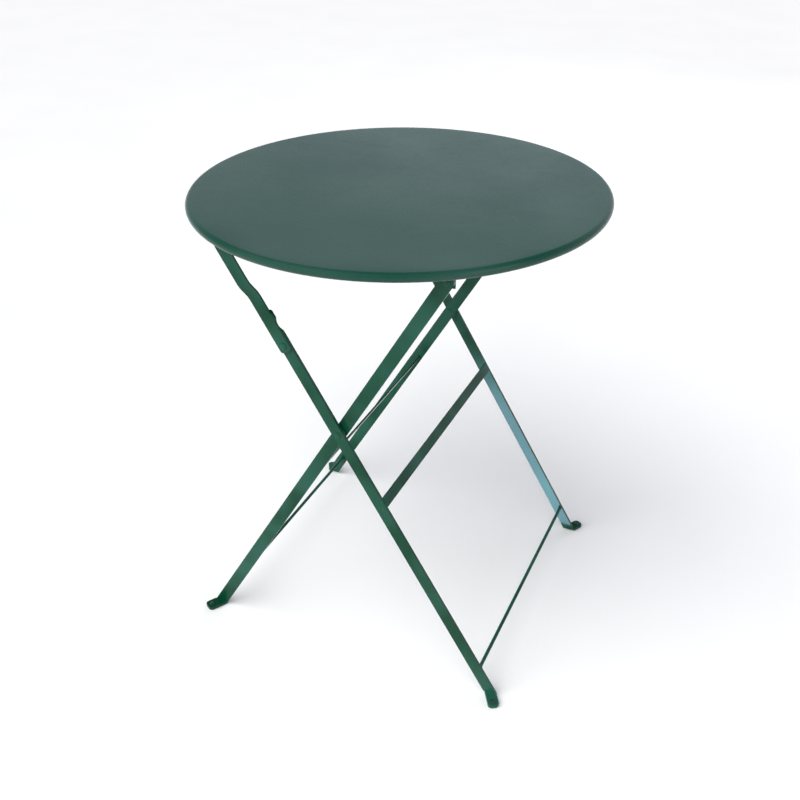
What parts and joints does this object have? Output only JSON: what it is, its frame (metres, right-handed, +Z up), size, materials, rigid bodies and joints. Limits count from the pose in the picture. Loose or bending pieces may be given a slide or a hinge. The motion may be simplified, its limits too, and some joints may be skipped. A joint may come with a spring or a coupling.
{
  "type": "folding bistro table",
  "caption": "Folding cafe table: round pressed-steel top on two crossed flat-bar frames that fold flat under it, held open by two toggle stays.",
  "frame": {"origin": "on the floor under the centre of the round top, with the table unfolded", "axes": "+Z up; +X along the folding direction, towards the feet of the outer frame; +Y along the hinge lines"},
  "size_m": [0.6, 0.6, 0.7],
  "materials": {
    "top_paint": "satin powder coat",
    "frame_paint": "gloss powder coat",
    "glide": "satin"
  },
  "bodies": {
    "top": {"tabletop": "top_paint", "pivot_rail": "frame_paint", "stay_rail": "frame_paint", "leg_pivot_rivet_near": "frame_paint", "leg_pivot_rivet_far": "frame_paint", "stay_rail_rivet_near": "frame_paint", "stay_rail_rivet_far": "frame_paint"},
    "inner_frame": {"inner_leg_near": "frame_paint", "inner_leg_far": "frame_paint", "inner_crossbar": "frame_paint", "inner_rod": "frame_paint", "scissor_rivet_near": "frame_paint", "scissor_rivet_far": "frame_paint", "scissor_spacer_near": "frame_paint", "scissor_spacer_far": "frame_paint", "inner_foot_glide_near": "glide", "inner_foot_glide_far": "glide"},
    "outer_frame": {"outer_leg_near": "frame_paint", "outer_leg_far": "frame_paint", "outer_crossbar": "frame_paint", "outer_rod": "frame_paint", "stay_rivet_tail_near": "frame_paint", "stay_rivet_tail_far": "frame_paint", "outer_foot_glide_near": "glide", "outer_foot_glide_far": "glide"},
    "near_stay": {"stay_near": "frame_paint", "stay_rivet_head_near": "frame_paint"},
    "far_stay": {"stay_far": "frame_paint", "stay_rivet_head_far": "frame_paint"}
  },
  "joints": [
    {"name": "fold", "type": "hinge", "parent": "top", "child": "inner_frame", "pos_m": [0.15623, 0, 0.669], "axis": [0, 1, 0], "range_deg": [0, 56.3]},
    {"name": "scissor", "type": "hinge", "parent": "inner_frame", "child": "outer_frame", "pos_m": [0.002, 0, 0.4113], "axis": [0, 1, 0], "range_deg": [0, 59.9]},
    {"name": "near_stay_swing", "type": "hinge", "parent": "top", "child": "near_stay", "pos_m": [-0.15523, 0, 0.674], "axis": [0, 1, 0], "range_deg": [-56.4, 0]},
    {"name": "far_stay_swing", "type": "hinge", "parent": "top", "child": "far_stay", "pos_m": [-0.15523, 0, 0.674], "axis": [0, 1, 0], "range_deg": [-56.4, 0]}
  ],
  "couplings": [
    {"joint": "scissor", "follows": "fold", "ratio": 1.0635},
    {"joint": "near_stay_swing", "follows": "fold", "ratio": -1.001},
    {"joint": "far_stay_swing", "follows": "fold", "ratio": -1.001}
  ]
}
